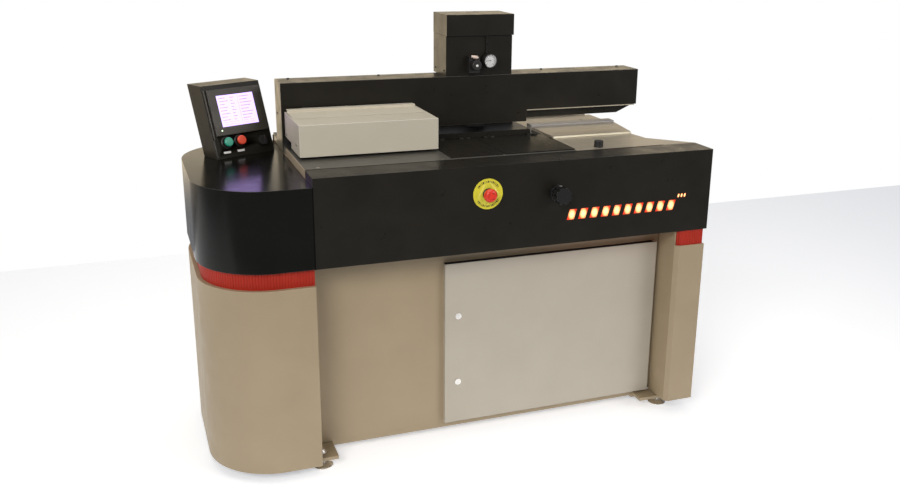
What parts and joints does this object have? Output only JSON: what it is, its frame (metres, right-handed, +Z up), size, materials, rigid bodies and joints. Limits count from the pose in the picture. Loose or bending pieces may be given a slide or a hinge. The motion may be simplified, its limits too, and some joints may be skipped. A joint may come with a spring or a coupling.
{
  "type": "perfect binding machine",
  "caption": "Perfect binding machine with a travelling clamp carriage, hinged covers over milling and glue stations, a nipping station, a tower with a hinged lid and a tilted console.",
  "frame": {"origin": "on the floor under the middle of the machine's outline", "axes": "+X along the carriage travel to the right, +Y to the rear, +Z up"},
  "size_m": [1.543, 0.719, 1.267],
  "materials": {
    "black_paint": "semi-gloss",
    "grey_paint": "satin",
    "beige_paint": "fine texture",
    "red_trim": "gloss, fluted",
    "table_steel": "satin",
    "machined_steel": "machined",
    "dark_steel": "satin",
    "chrome": "polished",
    "cast_metal": "satin",
    "aluminium": "anodised",
    "black_plastic": "fine texture",
    "amber_light": "lit",
    "yellow_plastic": "gloss",
    "red_plastic": "gloss",
    "green_plastic": "gloss",
    "stem_plastic": "smooth",
    "belt_rubber": "matt"
  },
  "bodies": {
    "frame": {"base_frame": "beige_paint", "levelling_feet": "chrome", "left_casing": "beige_paint", "red_bands": "red_trim", "left_housing": "black_paint", "right_column": "beige_paint", "front_panel": "beige_paint", "rear_panel": "beige_paint", "cable_gland": "black_plastic", "control_units": "black_plastic", "front_fascia": "black_paint", "light_bar": "amber_light", "stop_station": "yellow_plastic", "bed_plate": "table_steel", "infeed_table": "black_paint", "delivery_table": "table_steel", "guide_bar": "table_steel", "rear_nip_bar": "table_steel", "nip_cylinders": "aluminium", "milling_motor": "cast_metal", "glue_tank": "cast_metal", "roller_drive": "cast_metal", "beam_frame": "dark_steel", "beam_cover": "black_paint", "drive_belt": "belt_rubber", "belt_motor": "cast_metal", "tower_body": "black_paint", "valve_block": "aluminium", "regulator_body": "black_plastic", "gauge_case": "black_plastic", "console_case": "black_paint", "operator_panel": "black_paint"},
    "cabinet_door": {"cabinet_door": "beige_paint"},
    "lower_lock": {"lower_lock": "chrome"},
    "upper_lock": {"upper_lock": "chrome"},
    "stop_plunger": {"stop_plunger": "stem_plastic"},
    "stop_head": {"stop_head": "red_plastic"},
    "adjusting_knob": {"adjusting_knob": "black_plastic"},
    "table_knob": {"table_knob": "black_plastic"},
    "milling_cover": {"milling_cover": "black_paint"},
    "glue_cover": {"glue_cover": "black_paint"},
    "nip_plate": {"nip_plate": "table_steel"},
    "nip_base": {"nip_base": "table_steel"},
    "milling_cutter": {"milling_cutter": "machined_steel"},
    "glue_roller_one": {"glue_roller_one": "machined_steel"},
    "glue_roller_two": {"glue_roller_two": "machined_steel"},
    "doctor_blade": {"doctor_blade": "machined_steel"},
    "drive_pulley": {"drive_pulley": "machined_steel"},
    "idler_pulley": {"idler_pulley": "machined_steel"},
    "carriage": {"carriage_frame": "dark_steel", "clamp_cylinders": "aluminium", "rear_jaw": "machined_steel", "carriage_hood": "grey_paint"},
    "front_jaw": {"front_jaw": "machined_steel"},
    "tower_lid": {"tower_lid": "black_paint"},
    "regulator_knob": {"regulator_knob": "black_plastic"},
    "gauge_needle": {"gauge_needle": "black_plastic"},
    "start_button": {"start_button": "green_plastic"},
    "stop_button": {"stop_button": "red_plastic"},
    "mode_knob": {"mode_knob": "black_plastic"}
  },
  "joints": [
    {"name": "carriage_travel", "type": "slide", "parent": "frame", "child": "carriage", "axis": [1, 0, 0], "range_m": [0, 0.79]},
    {"name": "front_jaw_clamp", "type": "slide", "parent": "carriage", "child": "front_jaw", "axis": [0, -1, 0], "range_m": [-0.0075, 0.042]},
    {"name": "drive_pulley_turn", "type": "hinge", "parent": "frame", "child": "drive_pulley", "pos_m": [-0.3965, 0.1765, 0.985], "axis": [0, 0, 1], "range_deg": [-2400, 0]},
    {"name": "idler_pulley_turn", "type": "hinge", "parent": "frame", "child": "idler_pulley", "pos_m": [0.7085, 0.1765, 0.985], "axis": [0, 0, 1], "range_deg": [-2400, 0]},
    {"name": "milling_cover_swing", "type": "hinge", "parent": "frame", "child": "milling_cover", "pos_m": [0.042, 0.051, 0.8915], "axis": [1, 0, 0], "range_deg": [-95, 0]},
    {"name": "glue_cover_swing", "type": "hinge", "parent": "frame", "child": "glue_cover", "pos_m": [0.2425, 0.051, 0.8915], "axis": [1, 0, 0], "range_deg": [-95, 0]},
    {"name": "cabinet_door_swing", "type": "hinge", "parent": "frame", "child": "cabinet_door", "pos_m": [0.6465, -0.2005, 0.3095], "axis": [0, 0, 1], "range_deg": [0, 90]},
    {"name": "lower_lock_turn", "type": "hinge", "parent": "cabinet_door", "child": "lower_lock", "pos_m": [-0.0245, -0.2105, 0.184], "axis": [0, 1, 0], "range_deg": [0, 90]},
    {"name": "upper_lock_turn", "type": "hinge", "parent": "cabinet_door", "child": "upper_lock", "pos_m": [-0.0245, -0.2105, 0.402], "axis": [0, 1, 0], "range_deg": [0, 90]},
    {"name": "stop_press", "type": "slide", "parent": "frame", "child": "stop_plunger", "axis": [0, 1, 0], "range_m": [0, 0.005]},
    {"name": "stop_release", "type": "hinge", "parent": "stop_plunger", "child": "stop_head", "pos_m": [0.0285, -0.3245, 0.805], "axis": [0, 1, 0], "range_deg": [0, 45]},
    {"name": "adjusting_knob_turn", "type": "hinge", "parent": "frame", "child": "adjusting_knob", "pos_m": [0.2425, -0.3045, 0.793], "axis": [0, 1, 0], "range_deg": [0, 300]},
    {"name": "doctor_blade_turn", "type": "hinge", "parent": "frame", "child": "doctor_blade", "pos_m": [0.3215, 0.1025, 0.864], "axis": [0, 1, 0], "range_deg": [0, 12]},
    {"name": "table_knob_turn", "type": "hinge", "parent": "frame", "child": "table_knob", "pos_m": [0.4455, -0.1695, 0.887], "axis": [0, 0, 1], "continuous": true},
    {"name": "nip_plate_press", "type": "slide", "parent": "frame", "child": "nip_plate", "axis": [0, -1, 0], "range_m": [0, 0.065]},
    {"name": "nip_base_lift", "type": "slide", "parent": "frame", "child": "nip_base", "axis": [0, 0, 1], "range_m": [0, 0.007]},
    {"name": "milling_cutter_spin", "type": "hinge", "parent": "frame", "child": "milling_cutter", "pos_m": [0.0435, 0.1075, 0.888], "axis": [0, 0, 1], "continuous": true},
    {"name": "glue_roller_one_spin", "type": "hinge", "parent": "frame", "child": "glue_roller_one", "pos_m": [0.2035, 0.1025, 0.858], "axis": [0, 1, 0], "continuous": true},
    {"name": "glue_roller_two_spin", "type": "hinge", "parent": "frame", "child": "glue_roller_two", "pos_m": [0.2735, 0.1025, 0.858], "axis": [0, 1, 0], "continuous": true},
    {"name": "tower_lid_swing", "type": "hinge", "parent": "frame", "child": "tower_lid", "pos_m": [0.172, 0.2875, 1.2007], "axis": [1, 0, 0], "range_deg": [-100, 0]},
    {"name": "regulator_knob_turn", "type": "hinge", "parent": "frame", "child": "regulator_knob", "pos_m": [0.1465, 0.1315, 1.111], "axis": [0, 1, 0], "range_deg": [-270, 270]},
    {"name": "gauge_needle_turn", "type": "hinge", "parent": "frame", "child": "gauge_needle", "pos_m": [0.2005, 0.1345, 1.122], "axis": [0, 1, 0], "range_deg": [-120, 120]},
    {"name": "start_button_press", "type": "slide", "parent": "frame", "child": "start_button", "axis": [-0.4157, 0.8523, -0.3176], "range_m": [0, 0.004], "stiffness_N_per_m": 400},
    {"name": "stop_button_press", "type": "slide", "parent": "frame", "child": "stop_button", "axis": [-0.4157, 0.8523, -0.3176], "range_m": [0, 0.004], "stiffness_N_per_m": 400},
    {"name": "mode_knob_turn", "type": "hinge", "parent": "frame", "child": "mode_knob", "pos_m": [-0.52766, 0.18776, 0.89614], "axis": [0.4157, -0.8523, 0.3176], "range_deg": [-45, 45]}
  ],
  "couplings": [
    {"joint": "drive_pulley_turn", "follows": "carriage_travel", "rad_per_m": -52.632},
    {"joint": "idler_pulley_turn", "follows": "carriage_travel", "rad_per_m": -52.632},
    {"joint": "doctor_blade_turn", "follows": "adjusting_knob_turn", "ratio": 0.04},
    {"joint": "gauge_needle_turn", "follows": "regulator_knob_turn", "ratio": 0.4444},
    {"joint": "glue_roller_two_spin", "follows": "glue_roller_one_spin", "ratio": 1}
  ]
}
